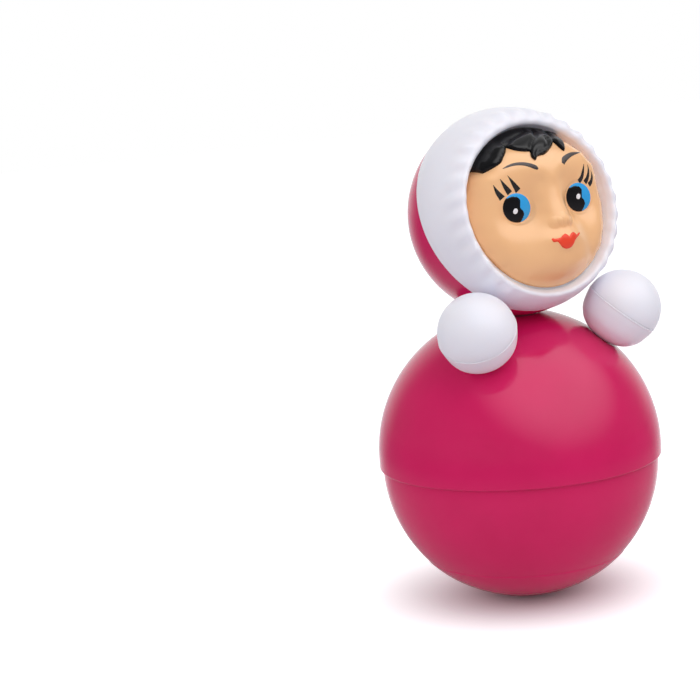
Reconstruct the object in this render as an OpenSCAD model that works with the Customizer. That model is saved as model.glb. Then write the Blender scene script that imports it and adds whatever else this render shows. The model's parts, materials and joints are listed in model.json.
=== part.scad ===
// Roly poly doll: a weighted ball body that rights itself, a head in a fur hood that turns on its neck,
// two ball hands on pins, and a chime inside the body that rings as the doll rocks.
// Millimetres, +Z up, the face looks toward -Y, the origin is the centre of the small flat foot.
// Left and right are the doll's own: its left hand is on the +X side.

/* [Body shells] */
// Outer radius of the lower bowl
bowl_r = 44.5; // [41:0.5:50]
// How far the dome's rim stands out past the bowl
rim_step = 1.1; // [0.8:0.1:1.6]
// Height of the dome's centre above the bowl's centre
dome_lift = 3.4; // [2.4:0.1:5]
// Wall thickness of both body shells
shell_t = 2.2; // [1.8:0.1:2.6]
// Height of the seam between the shells above the bowl's centre
seam_rise = 0.2; // [0:0.1:1]
// Bevel under the dome's rim
rim_bevel = 0.5; // [0.3:0.1:0.8]
// Height of the bowl's lip inside the dome
lip_h = 5; // [3:0.5:8]
// Thickness of the bowl's lip
lip_t = 1.4; // [1.2:0.1:2]
// Radius of the flat foot under the bowl
foot_r = 5; // [4:0.25:7]

/* [Ballast] */
// Height of the ballast weight
ballast_h = 15; // [13:0.5:18]
// Gap between the ballast and the bowl
ballast_gap = 0.2; // [0.1:0.1:0.5]
// Number of ballast screws
ballast_screws_n = 3; // [3:1:4]
// Distance of the ballast screws from the middle
post_ring = 20; // [19:0.5:22]
// Radius of the bowl's screw posts
post_r = 4; // [3.5:0.1:5]
// Height of the screw posts above the bowl's floor
post_h = 10; // [8:0.5:11]
// Shank radius of the ballast screws
ballast_screw_r = 1.5; // [1.2:0.1:1.8]

/* [Chime] */
// Radius of the chime's base plate
base_r = 28; // [27:0.5:30]
// Thickness of the base plate
base_t = 3; // [2.5:0.1:4]
// Radius of a chime rod
rod_r = 1.2; // [0.9:0.1:1.5]
// Length of the shortest chime rod
rod_short = 26; // [22:0.5:28]
// Length added from one rod to the next
rod_step = 1.4; // [0.5:0.1:1.6]
// Number of chime rods
rod_n = 8; // [8:1:8]
// Room left between the clapper at its limit and a rod
strike_gap = 0.35; // [0.3:0.05:0.6]

/* [Clapper] */
// Swing of the clapper each way, in degrees
swing = 12; // [8:1:14]
// Radius of the clapper's bob
bob_r = 7; // [6:0.5:8]
// Distance from the clapper's pivot to the middle of its bob
clapper_len = 20; // [18:0.5:22]
// Height of the clapper's pivot above the base plate
pivot_h = 38; // [37:0.5:42]
// Radius of the clapper's stem
stem_r = 1.4; // [1.2:0.1:1.8]
// Radius of the two crossed pivots
pivot_r = 1.4; // [1.2:0.1:1.6]
// Width of the link between the crossed pivots
link_w = 7; // [6:0.5:8]
// Thickness of the hanger's lugs and of the stem's fork
ear_t = 2.4; // [2:0.1:3]
// Thickness of the hanger's strip
strip_t = 2; // [1.6:0.1:2.4]
// Width of the hanger's strip
strip_w = 7; // [6.5:0.1:9]
// Distance of the hanger's legs from the middle
leg_x = 21; // [20:0.5:22]
// Length of the hanger's feet
foot_len = 6; // [5:0.5:6]
// Shank radius of the hanger's screws
hanger_screw_r = 1.2; // [1:0.1:1.4]

/* [Head] */
// Outer radius of the rear shell of the head
head_r = 32.8; // [31.5:0.1:35]
// Depth of the head in the dome's dish
head_sink = 1.3; // [0.8:0.1:1.6]
// Distance of the neck's axis ahead of the body's axis
head_forward = 4.3; // [0:0.1:5]
// Wall thickness of the rear shell
head_t = 2; // [1.6:0.1:2.4]
// Clearance between the head and its dish
head_gap = 0.3; // [0.25:0.05:0.5]
// Radius of the neck sleeve
neck_r = 6; // [5:0.25:7]
// Wall thickness of the neck sleeve
neck_t = 1.6; // [1.2:0.1:2.2]
// Width of the sleeve's flange and of the retaining ring past the sleeve
collar_w = 3; // [2:0.25:4]
// Thickness of the sleeve's flange and of the retaining ring
collar_t = 1.8; // [1.4:0.1:2.4]
// Thickness of the dome and of the head where the sleeve goes through
neck_seat_t = 4.5; // [3.5:0.25:6]

/* [Hood] */
// Upward tilt of the hood's back edge, in degrees
hood_tilt = 25.5; // [20:0.5:28]
// Place of the back edge along its own axis, from the head's centre
hood_edge = -1.3; // [-3:0.1:0]
// Tube radius of the hood's rounded band
hood_tube_r = 22; // [20:0.5:24]
// How far the hood's widest ring stands out past the rear shell
hood_step = 0.45; // [0.2:0.05:1]
// Place of the hood's widest ring along its axis, from the head's centre
hood_ahead = 2.4; // [1.5:0.1:3]
// Wall thickness of the hood
hood_t = 2.4; // [2:0.1:2.8]
// Number of fur lumps round the opening
lump_n = 24; // [18:1:28]
// Rounding radius of a fur lump
lump_r = 9; // [8:0.5:11]
// Height of a fur lump
lump_h = 0.5; // [0.3:0.1:0.8]
// Depth of the rear shell's spigot inside the hood
spigot_h = 3; // [2:0.25:3.5]

/* [Face] */
// Upward tilt of the face, in degrees
face_tilt = 11.5; // [9:0.5:14]
// Turn of the face in its round seat, in degrees
face_turn = 3.5; // [0:0.5:5]
// Width of the hood round the opening, seen from the front
hood_front_w = 6.5; // [5.5:0.1:7.5]
// Depth of the opening's narrowest edge behind the rear shell's sphere
lip_setback = 4.3; // [3.5:0.1:5]
// Depth of the face's rim behind the opening's edge
face_recess = 2.8; // [2.2:0.1:3.4]
// Height of the face's bulge above its rim
face_bulge = 14.3; // [12:0.1:16]
// Wall thickness of the face
face_t = 1.8; // [1.4:0.1:2.2]
// Width of the rim that holds the face behind the hood
face_rim_w = 1; // [0.8:0.1:1.4]
// Thickness of that rim
face_rim_t = 2; // [1.6:0.1:2.4]
// Distance of each eye from the middle of the face
eye_x = 11.9; // [11:0.1:13]
// Height of the eyes
eye_y = -0.4; // [-1:0.1:1]
// Radius of the eye sockets
socket_r = 10; // [9:0.5:11]
// Depth of the eye sockets
socket_d = 6.2; // [5:0.1:7]
// Radius of the eyeballs
eye_r = 6; // [5.5:0.1:6.5]
// Height of the eyeballs above the sockets' floor
eye_h = 2.6; // [2:0.1:3.2]
// Height of the nose above the cheeks
nose_h = 1.7; // [1:0.1:2.4]
// Radius of the nose
nose_r = 2.8; // [2.2:0.1:3.4]
// Height of the nose tip
nose_y = -7.2; // [-8:0.1:-6]
// Height of the mouth
mouth_y = -12.8; // [-14:0.1:-12]
// How far the muzzle stands out
muzzle_h = 3.2; // [1.6:0.1:4]
// Radius of the muzzle
muzzle_r = 12; // [10:0.5:14]
// Distance of each cheek from the middle
cheek_x = 9.5; // [8:0.1:11]
// Height of the cheeks
cheek_y = -10.5; // [-12:0.1:-9]
// How far the cheeks stand out
cheek_h = 1.6; // [1:0.1:2]
// Radius of the cheeks
cheek_r = 10; // [9:0.5:12]
// Thickness of the moulded hair
hair_h = 0.9; // [0.5:0.1:1.4]
// Thickness of the moulded lips
lips_h = 0.4; // [0.2:0.1:0.8]

/* [Hands] */
// Radius of a hand
hand_r = 12.2; // [11:0.1:13]
// Sideways turn of the hands from the front, in degrees
hand_turn = 51.5; // [48:0.5:60]
// Depth of a hand in the dome's dish
hand_sink = 1.1; // [0.8:0.1:1.4]
// Clearance between a hand and its dish
hand_gap = 0.3; // [0.25:0.05:0.5]
// Clearance between the hands and the hood
hood_gap = 0.55; // [0.4:0.05:1.2]
// Wall thickness of a hand
hand_t = 1.6; // [1.2:0.1:2]
// Radius of a hand's pin
pin_r = 2; // [1.6:0.1:2.4]
// Head radius of a hand's pin, and radius of its clip
pin_head_r = 4; // [3.6:0.1:4.6]
// Thickness of the pin's head and of its clip
pin_head_t = 1.4; // [1:0.1:2]
// Thickness of the dome and of the hand where the pin goes through
pin_seat_t = 4; // [3:0.25:5]

/* [Fits] */
// Clearance of a turning shaft in its hole
run_gap = 0.05; // [0.03:0.01:0.1]
// Clearance of a piece set in its seat
seat_gap = 0.05; // [0.02:0.01:0.1]
// Clearance beside and beyond a turning piece
side_gap = 0.3; // [0.25:0.05:0.4]

/* [Hidden] */
HAND_NAMES = ["left", "right"];
$fn = 96;

// Overrun of a cut past the face that it opens
over = 1;
RASPBERRY = [0.78, 0.11, 0.31];
FUR_WHITE = [0.94, 0.93, 0.96];
SKIN = [0.96, 0.76, 0.55];
IRON = [0.30, 0.30, 0.32];
STEEL = [0.72, 0.73, 0.75];
BRASS = [0.80, 0.63, 0.28];

// Body heights
dome_r = bowl_r + rim_step;
bowl_z = sqrt(bowl_r * bowl_r - foot_r * foot_r);
dome_z = bowl_z + dome_lift;
seam_z = bowl_z + seam_rise;
bowl_in = bowl_r - shell_t;
dome_in = dome_r - shell_t;
floor_z = bowl_z - bowl_in;

// Ballast and chime heights
post_top = floor_z + post_h;
ballast_top = floor_z + ballast_h;
base_top = ballast_top + base_t;
post_turn = 90;
ballast_screw_head_r = 2 * ballast_screw_r;
screw_head_t = 1.6;
ballast_screw_bite = 5;
hanger_screw_head_r = 2 * hanger_screw_r;
hanger_screw_bite = 5;
slot_w = 0.8;
slot_d = 0.7;

// Clapper places: the rods stand just past the bob's reach along one swing and along both together
pivot_z = base_top + pivot_h;
reach_side = clapper_len * sin(swing);
reach_corner = reach_side * sqrt(1 + cos(swing) * cos(swing));
rod_clear = bob_r + rod_r + strike_gap;
ear_wall = 1.6;
ear_r = pivot_r + ear_wall;
ear_in = link_w / 2 + side_gap;
ear_out = ear_in + ear_t;
link_wall = 1.1;
link_h = 2 * (pivot_r + link_wall);
bar_z = pivot_z + ear_r + ear_out * sin(swing) + side_gap;
yoke_top = pivot_z - norm([link_w / 2, link_h / 2]) - side_gap;
yoke_t = 3;
stem_tip = 3;

// Head places: the neck's axis is upright, and the head's sphere sits in the dome's dish
head_reach = dome_r + head_r - head_sink;
head_up = sqrt(head_reach * head_reach - head_forward * head_forward);
head_z = dome_z + head_up;
dish_z = head_z - head_r - head_gap;
neck_low = dish_z - neck_seat_t;
neck_floor = head_z - head_r + neck_seat_t;
neck_hi = neck_floor + side_gap + collar_t;
collar_r = neck_r + collar_w;
boss_wall = 2;

// Hood band, turned about the axis of its back edge
hood_ring_r = head_r + hood_step - hood_tube_r;
hood_in_r = hood_tube_r - hood_t;
band_from = hood_ring_r + 0.4 * hood_tube_r;
band_to = hood_ring_r + hood_tube_r + over;
back_gap = hood_ahead - hood_edge;
spigot_r = hood_ring_r + sqrt(hood_in_r * hood_in_r - back_gap * back_gap) - 2 * seat_gap;
spigot_t = 1.4;
spigot_root = 4;

// Face opening and the seat behind it
open_r = head_r - hood_front_w;
open_z = sqrt(head_r * head_r - open_r * open_r) - lip_setback;
seat_z = open_z - face_recess;
face_edge_r = open_r - 4 * seat_gap;
face_r = (face_edge_r * face_edge_r + face_bulge * face_bulge) / (2 * face_bulge);
face_rim_r = open_r + face_rim_w;
cap_z = seat_z + 4 * seat_gap + face_bulge - face_r;
collar_ring_w = 2.2;
pocket_back = 10;

// Fur lumps sit on the band where a plane across the face's axis meets it
fold = hood_tilt - face_tilt;
lump_plane = open_z;

// Hands rise on the dome until they clear the hood by hood_gap
hand_reach = dome_r + hand_r - hand_sink;
hood_reach = norm([hood_ring_r, hood_ahead]) + hood_tube_r + lump_h;
hand_apart = hood_reach + hand_r + hood_gap;
lean_y = head_forward * cos(hand_turn);
lean_len = norm([lean_y, head_up]);
hand_dot = (hand_reach * hand_reach + head_reach * head_reach - hand_apart * hand_apart) / (2 * hand_reach);
hand_rise = atan2(head_up, lean_y) - acos(hand_dot / lean_len);
hand_dish = hand_reach - hand_r - hand_gap;
pin_floor = hand_dish - pin_seat_t;
pin_foot = pin_floor - side_gap - pin_head_t;
pin_tip = 0.8;
hand_spigot_w = 1;
hand_spigot_h = 2;

// Hairline across the forehead, from the left temple to the small lock on the right
HAIR = [[-19.4, 12.1], [-16, 13.5], [-12.8, 15.2], [-9.4, 18], [-7.5, 16.6], [-4.3, 15.8], [-3.9, 13.1],
        [0.4, 13.9], [3.5, 15], [6.5, 17.2], [9.4, 14.1], [11.2, 17], [12.5, 20]];
hair_top = 30;
// Outline of the lips, from the corners to the bow and the lower lip, about the mouth's middle
LIPS = [[-5.4, 0.7], [-3, 0.3], [-1.2, 1.5], [0.2, 0.8], [1.6, 1.5], [3, 0.4], [5.4, 1.2], [2.8, -1.4],
        [1.4, -2.4], [-0.8, -2.5], [-2.6, -1.3]];

// Frames

module at_bowl() {
    translate([0, 0, bowl_z]) children();
}

module at_dome() {
    translate([0, 0, dome_z]) children();
}

module at_neck() {
    translate([0, -head_forward, 0]) children();
}

// Tilted frame at the head's centre: its Z axis points forward and up by the tilt
module at_head(tilt) {
    translate([0, -head_forward, head_z]) rotate([90 - tilt, 0, 0]) children();
}

// Frame of a hand: its Z axis runs out of the dome through the middle of the hand
module at_hand(side) {
    at_dome() rotate([0, 0, side * hand_turn]) rotate([90 - hand_rise, 0, 0]) children();
}

module ring_of(count, start = 0) {
    for (i = [0:count - 1]) rotate([0, 0, start + i * 360 / count]) children();
}

// Round bar along Z between two heights
module bar(r, low, high) {
    translate([0, 0, low]) cylinder(r = r, h = high - low);
}

// Tube along Z between two heights
module tube(r_in, r_out, low, high) {
    difference() {
        bar(r_out, low, high);
        bar(r_in, low - over, high + over);
    }
}

// Slotted screw whose head stands on a face at height seat
module screw(r, head_r, seat, bite) {
    difference() {
        union() {
            bar(r, seat - bite, seat);
            bar(head_r, seat, seat + screw_head_t);
        }
        translate([-head_r - over, -slot_w / 2, seat + screw_head_t - slot_d])
            cube([2 * (head_r + over), slot_w, slot_d + over]);
    }
}

// Body shells

module body_lower_shell() {
    color(RASPBERRY) difference() {
        union() {
            at_bowl() difference() {
                sphere(bowl_r);
                sphere(bowl_in);
                translate([0, 0, seam_rise]) cylinder(r = bowl_r + over, h = bowl_r + over);
            }
            tube(dome_in - seat_gap - lip_t, dome_in - seat_gap, seam_z - lip_t - rim_step, seam_z + lip_h);
            intersection() {
                ring_of(ballast_screws_n, post_turn) translate([post_ring, 0, 0]) bar(post_r, 0, post_top);
                at_bowl() sphere(bowl_r - shell_t / 2);
            }
        }
        ring_of(ballast_screws_n, post_turn) translate([post_ring, 0, 0])
            bar(ballast_screw_r + seat_gap, post_top - ballast_screw_bite, post_top + over);
        bar(bowl_r, -bowl_r, 0);
    }
}

// Wall of the dome in section, from the rim up to the crown
module dome_section() {
    drop = dome_lift - seam_rise;
    difference() {
        union() {
            intersection() {
                circle(dome_r);
                square(dome_r);
            }
            translate([0, -drop]) square([dome_r, drop]);
        }
        intersection() {
            circle(dome_in);
            square(dome_in);
        }
        translate([0, -drop - over]) square([dome_in, drop + over]);
        polygon([[dome_r - rim_bevel, -drop], [dome_r, -drop + rim_bevel], [dome_r, -drop]]);
    }
}

module body_upper_shell() {
    color(RASPBERRY) difference() {
        union() {
            at_dome() rotate_extrude() dome_section();
            intersection() {
                union() {
                    at_neck() bar(collar_r + boss_wall, neck_low, dome_z + dome_r);
                    for (side = [1, -1]) at_hand(side) bar(pin_head_r + boss_wall, pin_floor, dome_r);
                }
                at_dome() sphere(dome_r - shell_t / 2);
            }
        }
        at_neck() translate([0, 0, head_z]) sphere(head_r + head_gap);
        at_neck() bar(neck_r + seat_gap, neck_low - over, head_z);
        for (side = [1, -1]) at_hand(side) {
            translate([0, 0, hand_reach]) sphere(hand_r + hand_gap);
            bar(pin_r + run_gap, pin_floor - over, hand_reach);
        }
    }
}

// Ballast

module ballast_weight() {
    color(IRON) difference() {
        intersection() {
            at_bowl() sphere(bowl_in - ballast_gap);
            bar(bowl_r, 0, ballast_top);
        }
        ring_of(ballast_screws_n, post_turn) translate([post_ring, 0, 0]) {
            bar(post_r + ballast_gap, -over, post_top);
            bar(ballast_screw_r + seat_gap, 0, ballast_top + over);
        }
        for (side = [1, -1]) translate([side * (leg_x + foot_len / 2), 0, 0])
            bar(hanger_screw_r + seat_gap, ballast_top - hanger_screw_bite, ballast_top + over);
    }
}

module ballast_screws() {
    bite = base_top - post_top + ballast_screw_bite;
    color(STEEL) ring_of(ballast_screws_n, post_turn) translate([post_ring, 0, 0])
        screw(ballast_screw_r, ballast_screw_head_r, base_top, bite);
}

// Chime

// Distance of rod i from the middle: the even rods stand on the swing axes, the odd ones between them
function rod_ring(i) = (i % 2 == 0 ? reach_side : reach_corner) + rod_clear;

module at_rod(i) {
    rotate([0, 0, i * 360 / rod_n]) translate([rod_ring(i), 0, 0]) children();
}

module chime_base() {
    color(STEEL) difference() {
        bar(base_r, ballast_top, base_top);
        for (i = [0:rod_n - 1]) at_rod(i) bar(rod_r + seat_gap, ballast_top - over, base_top + over);
        ring_of(ballast_screws_n, post_turn) translate([post_ring, 0, 0])
            bar(ballast_screw_r + seat_gap, ballast_top - over, base_top + over);
        for (side = [1, -1]) translate([side * (leg_x + foot_len / 2), 0, 0])
            bar(hanger_screw_r + seat_gap, ballast_top - over, base_top + over);
    }
}

module chime_rod(i) {
    color(STEEL) at_rod(i) bar(rod_r, ballast_top, ballast_top + rod_short + i * rod_step);
}

// Clapper

// Flat ear of thickness ear_t, round about the pivot, from y = ear_in outward, reaching to height z_end
module ear(z_end, hole_r) {
    translate([0, ear_in, 0]) rotate([-90, 0, 0]) difference() {
        union() {
            cylinder(r = ear_r, h = ear_t);
            translate([-ear_r, min(0, -z_end), 0]) cube([2 * ear_r, abs(z_end), ear_t]);
        }
        translate([0, 0, -over]) cylinder(r = hole_r, h = ear_t + 2 * over);
    }
}

module clapper_hanger() {
    color(STEEL) {
        translate([-leg_x, -strip_w / 2, bar_z]) cube([2 * leg_x, strip_w, strip_t]);
        for (side = [0, 1]) mirror([side, 0, 0]) {
            translate([leg_x - strip_t, -strip_w / 2, base_top]) cube([strip_t, strip_w, bar_z + strip_t - base_top]);
            difference() {
                translate([leg_x - strip_t, -strip_w / 2, base_top]) cube([strip_t + foot_len, strip_w, strip_t]);
                translate([leg_x + foot_len / 2, 0, 0])
                    bar(hanger_screw_r + seat_gap, base_top - over, base_top + strip_t + over);
            }
            translate([0, 0, pivot_z]) rotate([0, 0, -90]) ear(bar_z + strip_t / 2 - pivot_z, pivot_r + run_gap);
        }
    }
}

module hanger_screws() {
    bite = strip_t + base_t + hanger_screw_bite;
    color(STEEL) for (side = [1, -1]) translate([side * (leg_x + foot_len / 2), 0, 0])
        screw(hanger_screw_r, hanger_screw_head_r, base_top + strip_t, bite);
}

module clapper_link() {
    color(BRASS) translate([0, 0, pivot_z]) difference() {
        union() {
            cube([link_w, link_w, link_h], center = true);
            rotate([0, 90, 0]) bar(pivot_r, -ear_out, ear_out);
        }
        rotate([90, 0, 0]) bar(pivot_r + run_gap, -link_w, link_w);
    }
}

module clapper_pin() {
    color(STEEL) translate([0, 0, pivot_z]) rotate([90, 0, 0]) bar(pivot_r, -ear_out, ear_out);
}

module clapper_stem() {
    yoke_low = yoke_top - yoke_t;
    color(STEEL) {
        translate([-ear_r, -ear_out, yoke_low]) cube([2 * ear_r, 2 * ear_out, yoke_t]);
        for (side = [0, 1]) mirror([0, side, 0])
            translate([0, 0, pivot_z]) ear(yoke_top - yoke_t / 2 - pivot_z, pivot_r + seat_gap);
        bar(stem_r, pivot_z - clapper_len - stem_tip, yoke_low + yoke_t / 2);
    }
}

module clapper_bob() {
    color(BRASS) translate([0, 0, pivot_z - clapper_len]) difference() {
        sphere(bob_r);
        bar(stem_r + seat_gap, -stem_tip, bob_r + over);
    }
}

// Neck

module neck_sleeve() {
    color(FUR_WHITE) at_neck() {
        tube(neck_r - neck_t, collar_r, neck_low - collar_t, neck_low);
        tube(neck_r - neck_t, neck_r, neck_low - collar_t / 2, neck_hi);
    }
}

module neck_ring() {
    color(STEEL) at_neck() tube(neck_r + seat_gap, collar_r, neck_floor + side_gap, neck_hi);
}

// Head

// Wall of the rear shell in section, behind the hood's back edge
module rear_section() {
    intersection() {
        difference() {
            circle(head_r);
            circle(head_r - head_t);
        }
        translate([0, -head_r]) square([head_r, head_r + hood_edge]);
    }
}

module head_rear_shell() {
    color(RASPBERRY) difference() {
        union() {
            at_head(hood_tilt) {
                rotate_extrude() rear_section();
                tube(spigot_r - spigot_t, spigot_r, hood_edge - spigot_root, hood_edge + spigot_h);
                tube(spigot_r - spigot_t, head_r - head_t / 2, hood_edge - spigot_root, hood_edge);
            }
            intersection() {
                at_neck() bar(collar_r + boss_wall, head_z - head_r, neck_floor);
                translate([0, -head_forward, head_z]) sphere(head_r - head_t / 2);
            }
        }
        at_neck() {
            bar(neck_r + run_gap, head_z - head_r - over, neck_floor + over);
            bar(collar_r + side_gap, neck_floor, neck_hi + side_gap);
        }
    }
}

// Solid of the hood's rounded band, for a tube of radius r
module hood_band(r) {
    rotate_extrude() intersection() {
        translate([hood_ring_r, hood_ahead]) circle(r);
        translate([band_from, hood_ahead - hood_tube_r]) square([band_to - band_from, 2 * hood_tube_r]);
    }
}

// Angle on the band's tube where the lumps' plane meets it, at angle t round the band from the top
function lump_angle(t) = let (
        across = -hood_tube_r * sin(fold) * cos(t),
        along = hood_tube_r * cos(fold),
        rest = lump_plane + sin(fold) * cos(t) * hood_ring_r - cos(fold) * hood_ahead
    ) atan2(along, across) - acos(rest / norm([across, along]));

module fur_lumps() {
    deep = hood_tube_r + lump_h - lump_r;
    for (i = [0:lump_n - 1]) let (t = i * 360 / lump_n, a = lump_angle(t))
        rotate([0, 0, 90 - t])
            translate([hood_ring_r + deep * cos(a), 0, hood_ahead + deep * sin(a)]) sphere(lump_r);
}

module hood_trim() {
    flare = hood_front_w + over;
    color(FUR_WHITE) difference() {
        union() {
            at_head(hood_tilt) difference() {
                union() {
                    hood_band(hood_tube_r);
                    fur_lumps();
                }
                hood_band(hood_in_r);
                bar(head_r + hood_tube_r, -head_r - hood_tube_r, hood_edge);
            }
            intersection() {
                at_head(face_tilt) tube(open_r, open_r + collar_ring_w, seat_z, open_z + lip_setback);
                at_head(hood_tilt) hood_band(hood_tube_r - hood_t / 2);
            }
        }
        at_head(face_tilt) {
            bar(open_r, -pocket_back, head_r + hood_tube_r);
            bar(face_rim_r + seat_gap, seat_z - pocket_back, seat_z);
            translate([0, 0, open_z]) cylinder(r1 = open_r, r2 = open_r + flare, h = flare);
        }
    }
}

// Height of the face's bulge at a place on it
function bulge(x, y) = cap_z + sqrt(face_r * face_r - x * x - y * y);

// Rounded swelling of radius r whose top stands h above the bulge at a place, thinned by inset
module swelling(x, y, r, h, inset = 0) {
    translate([x, y, bulge(x, y) + h - r]) sphere(r - inset);
}

// Face form without eyes, nose and hair, down to the level low; the inset form is the hollow behind it
module face_form(inset, low) {
    intersection() {
        difference() {
            union() {
                translate([0, 0, cap_z]) sphere(face_r - inset);
                swelling(0, mouth_y, muzzle_r, muzzle_h, inset);
                for (side = [1, -1]) swelling(side * cheek_x, cheek_y, cheek_r, cheek_h, inset);
            }
            for (side = [1, -1])
                translate([side * eye_x, eye_y, bulge(eye_x, eye_y) - socket_d + socket_r]) sphere(socket_r + inset);
        }
        bar(face_edge_r - inset, low, cap_z + 2 * face_r);
    }
}

// Relief of thickness h over the bulge, inside a flat outline
module relief(h) {
    intersection() {
        linear_extrude(height = cap_z + 2 * face_r) children();
        translate([0, 0, cap_z]) difference() {
            sphere(face_r + h);
            sphere(face_r - face_t);
        }
        bar(face_edge_r, seat_z, cap_z + 2 * face_r);
    }
}

module face_mask() {
    color(SKIN) at_head(face_tilt) rotate([0, 0, face_turn]) {
        difference() {
            union() {
                face_form(0, seat_z - face_rim_t);
                for (side = [1, -1])
                    translate([side * eye_x, eye_y, bulge(eye_x, eye_y) - socket_d + eye_h - eye_r]) sphere(eye_r);
                swelling(0, nose_y, nose_r, nose_h);
                intersection() {
                    translate([0, mouth_y, seat_z]) linear_extrude(height = 2 * face_r) polygon(LIPS);
                    swelling(0, mouth_y, muzzle_r, muzzle_h, -lips_h);
                }
                relief(hair_h) polygon(concat(HAIR, [[hair_top / 2, hair_top], [-hair_top, hair_top], [-hair_top, HAIR[0].y]]));
                tube(face_edge_r - face_t, face_rim_r, seat_z - face_rim_t, seat_z);
            }
            face_form(face_t, cap_z - face_r);
        }
    }
}

// Hands

module hand_outer(side) {
    color(FUR_WHITE) at_hand(side) translate([0, 0, hand_reach]) difference() {
        sphere(hand_r);
        sphere(hand_r - hand_t);
        bar(hand_r + over, -hand_r - over, 0);
    }
}

module hand_inner(side) {
    spigot = hand_r - hand_t - seat_gap;
    color(FUR_WHITE) at_hand(side) translate([0, 0, hand_reach]) difference() {
        union() {
            difference() {
                sphere(hand_r);
                sphere(hand_r - hand_t);
                bar(hand_r + over, 0, hand_r + over);
            }
            intersection() {
                tube(spigot - hand_spigot_w, spigot, -hand_spigot_h, hand_spigot_h);
                sphere(spigot);
            }
            tube(spigot - hand_spigot_w, hand_r - hand_t / 2, -hand_spigot_h, 0);
            intersection() {
                bar(pin_head_r, -hand_r, -hand_r + pin_seat_t);
                sphere(hand_r - hand_t / 2);
            }
        }
        bar(pin_r + seat_gap, -hand_r - over, 0);
    }
}

module hand_pin(side) {
    top = hand_reach - hand_r + pin_seat_t;
    color(STEEL) at_hand(side) {
        bar(pin_r, pin_foot - pin_tip, top);
        bar(pin_head_r, top, top + pin_head_t);
    }
}

module hand_clip(side) {
    color(STEEL) at_hand(side) tube(pin_r + seat_gap, pin_head_r, pin_foot, pin_floor - side_gap);
}

body_lower_shell();
body_upper_shell();
ballast_weight();
ballast_screws();
chime_base();
for (i = [1:rod_n]) chime_rod(i - 1);
clapper_hanger();
hanger_screws();
clapper_link();
clapper_pin();
clapper_stem();
clapper_bob();
neck_sleeve();
neck_ring();
head_rear_shell();
hood_trim();
face_mask();
for (i = [0, 1]) let (name = HAND_NAMES[i], side = 1 - 2 * i) {
    hand_outer(side);
    hand_inner(side);
    hand_pin(side);
    hand_clip(side);
}
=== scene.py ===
"""Roly poly doll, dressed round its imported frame.

A raspberry ball body in two halves, a head with a white moulded fur hood and a painted face, and two white
ball hands. Lengths are millimetres in the part's own axes and angles are degrees; meshes are in metres.
"""

import json
import math

import bmesh
import bpy
import numpy as np
from mathutils import Matrix, Vector
from mathutils.geometry import delaunay_2d_cdt


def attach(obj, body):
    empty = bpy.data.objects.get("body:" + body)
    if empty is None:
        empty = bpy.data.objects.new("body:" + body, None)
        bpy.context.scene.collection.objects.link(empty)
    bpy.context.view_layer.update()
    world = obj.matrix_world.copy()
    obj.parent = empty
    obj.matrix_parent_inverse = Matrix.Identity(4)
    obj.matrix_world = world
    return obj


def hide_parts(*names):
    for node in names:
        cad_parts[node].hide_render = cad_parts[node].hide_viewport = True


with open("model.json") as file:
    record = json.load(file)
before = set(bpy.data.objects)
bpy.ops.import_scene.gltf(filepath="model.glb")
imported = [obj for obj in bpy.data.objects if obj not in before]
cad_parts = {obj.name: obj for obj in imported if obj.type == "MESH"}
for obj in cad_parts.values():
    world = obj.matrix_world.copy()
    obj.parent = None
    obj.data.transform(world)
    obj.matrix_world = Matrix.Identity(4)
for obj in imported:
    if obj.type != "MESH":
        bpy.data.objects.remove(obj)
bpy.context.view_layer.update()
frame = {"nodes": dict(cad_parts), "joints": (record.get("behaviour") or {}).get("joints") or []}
JOINTS = {joint["name"]: joint for joint in frame["joints"]}

MM = 0.001
LATHE_STEPS = 256
# A point of a section this near the axis is on it
ON_AXIS = 1e-6
ROD_STEPS = 96
BALL_ROWS = 160
SHARP_ANGLE = 32
NEARLY_ZERO = 1e-12

# Body
BOWL_R = 44.5
FOOT_R = 5
RIM_STEP = 1.1
DOME_LIFT = 3.4
SHELL_T = 2.2
SEAM_RISE = 0.2
RIM_ROUND = 0.6
LIP_H = 5
LIP_T = 1.4
POSTS = 3
POST_RING = 20
POST_R = 4
POST_H = 10
POST_BORE_R = 1.55
POST_BORE_DEPTH = 5
BOWL_EDGE = 0.15
SEAT_GAP = 0.05
RUN_GAP = 0.05
# How far a cutting tool runs past what it cuts
OVERCUT = 1

# A faint step low on the bowl: its height and its depth below the bowl's centre, then angles about that
# centre: half the step's width, where it starts and ends fading out below, and how far its fine rows reach
CAP_STEP = 0.16
CAP_STEP_BELOW = 30.5
CAP_EDGE = 0.5
CAP_FLAT = 4
CAP_FADE = 26
CAP_FINE = 1

# Head and neck
HEAD_R = 32.8
HEAD_T = 2
HEAD_GROOVE = 0.25
HEAD_GAP = 0.3
NECK_R = 6
COLLAR_R = 9
COLLAR_T = 1.8
NECK_SEAT_T = 4.5
BOSS_WALL = 2
SIDE_GAP = 0.3

# Hood
HOOD_TILT = 25.5
HOOD_EDGE = -1.3
HOOD_TUBE_R = 22
HOOD_STEP = 0.45
HOOD_AHEAD = 2.4
HOOD_T = 2.4
SPIGOT_H = 3
SPIGOT_T = 1.4
SPIGOT_ROOT = 4

# Face
FACE_TILT = 11.5
FACE_TURN = 1.1
OPEN_R = 26.3
OPEN_TOP_DROP = 1.1
LIP_FLARE = 0.3
# The lip is an even circle at its sides, up to this cosine of the turn from the top
LIP_EVEN = 0.3
LIP_SETBACK = 4.3
WALL_R = 25.0
WALL_SHIFT = 1.0
WALL_REST = 0.5
COLLAR_RING_W = 2.2
EDGE_Z = 13.5
EDGE_LEAN = 2.4
FACE_T = 1.8
FACE_BACK = 1.3 * FACE_T
FACE_GAP = 0.2
FACE_RIM_W = 1
FACE_RIM_T = 1.6

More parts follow.
